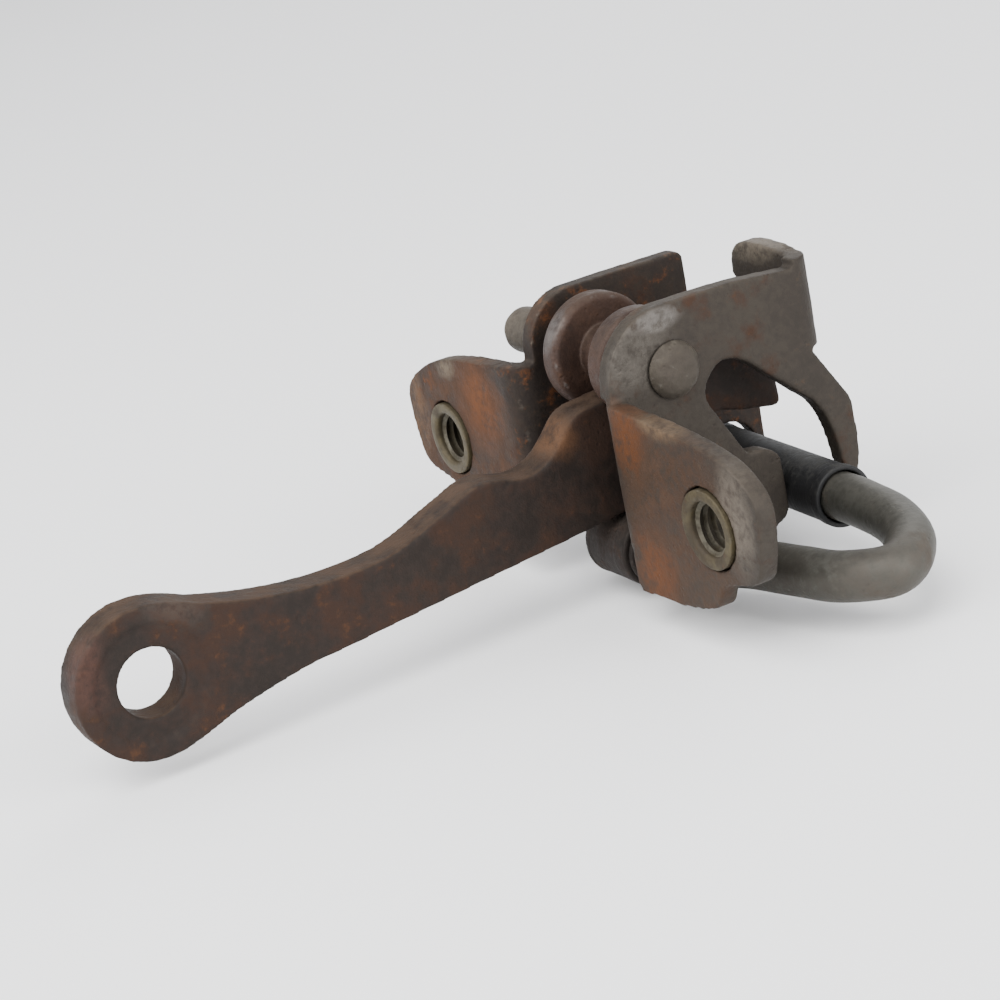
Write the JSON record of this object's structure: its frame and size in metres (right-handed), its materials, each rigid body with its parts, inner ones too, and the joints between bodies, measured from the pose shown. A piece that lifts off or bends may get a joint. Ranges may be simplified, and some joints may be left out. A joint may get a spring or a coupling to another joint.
{
  "type": "door check",
  "caption": "Car door check: a flat cam arm with an eye slides between two rollers in a bolted housing, held by a hairpin torsion-rod spring.",
  "frame": {"origin": "midway between the two threaded inserts, on the ears' front face, where the door edge bolts on", "axes": "+X out of the door along the arm towards its eye, +Y along the line of the two bolts towards the torsion rod's bend, +Z towards the fixed roller"},
  "size_m": [0.1231, 0.0994, 0.0443],
  "materials": {
    "plate_steel": "worn grey-brown sheet steel with rust on the ears",
    "arm_steel": "dark brown rusted forged steel",
    "roller_steel": "reddish-brown turned steel, polished by wear",
    "rod_steel": "grey spring steel, dull",
    "pin_steel": "grey-beige steel, hammered heads",
    "insert_zinc": "yellow passivated zinc plating",
    "sleeve_rubber": "black, dusty"
  },
  "bodies": {
    "housing": {"near_plate": "plate_steel", "far_plate": "plate_steel", "near_insert": "insert_zinc", "far_insert": "insert_zinc", "roller_pin": "pin_steel", "near_distance_collar": "pin_steel", "far_distance_collar": "pin_steel", "spacer_tube": "plate_steel", "spacer_rivet": "pin_steel", "rod_sleeve": "sleeve_rubber", "rod_anchor_leg": "rod_steel"},
    "fixed_roller": {"upper_roller": "roller_steel"},
    "free_rod": {"rod_hairpin": "rod_steel", "near_retaining_ring": "pin_steel", "far_retaining_ring": "pin_steel"},
    "sprung_roller": {"lower_roller": "roller_steel"},
    "arm": {"check_arm": "arm_steel"}
  },
  "joints": [
    {"name": "arm_slide", "type": "slide", "parent": "housing", "child": "arm", "axis": [0.9965, 0, -0.0837], "range_m": [-0.045, 0]},
    {"name": "rod_twist", "type": "hinge", "parent": "housing", "child": "free_rod", "pos_m": [-0.0327, 0.013, -0.00905], "axis": [0.0995, 0.9946, 0.0298], "range_deg": [0, 7], "stiffness_Nm_per_rad": 200},
    {"name": "fixed_roller_spin", "type": "hinge", "parent": "housing", "child": "fixed_roller", "pos_m": [-0.0117, 0, 0.0158], "axis": [0, 1, 0], "range_deg": [-10, 624]},
    {"name": "sprung_roller_spin", "type": "hinge", "parent": "free_rod", "child": "sprung_roller", "pos_m": [-0.00847, 0, -0.01248], "axis": [0, 1, 0], "range_deg": [-472, 10]}
  ],
  "couplings": [
    {"joint": "fixed_roller_spin", "follows": "arm_slide", "rad_per_m": -237.55},
    {"joint": "sprung_roller_spin", "follows": "arm_slide", "rad_per_m": 178.57}
  ]
}
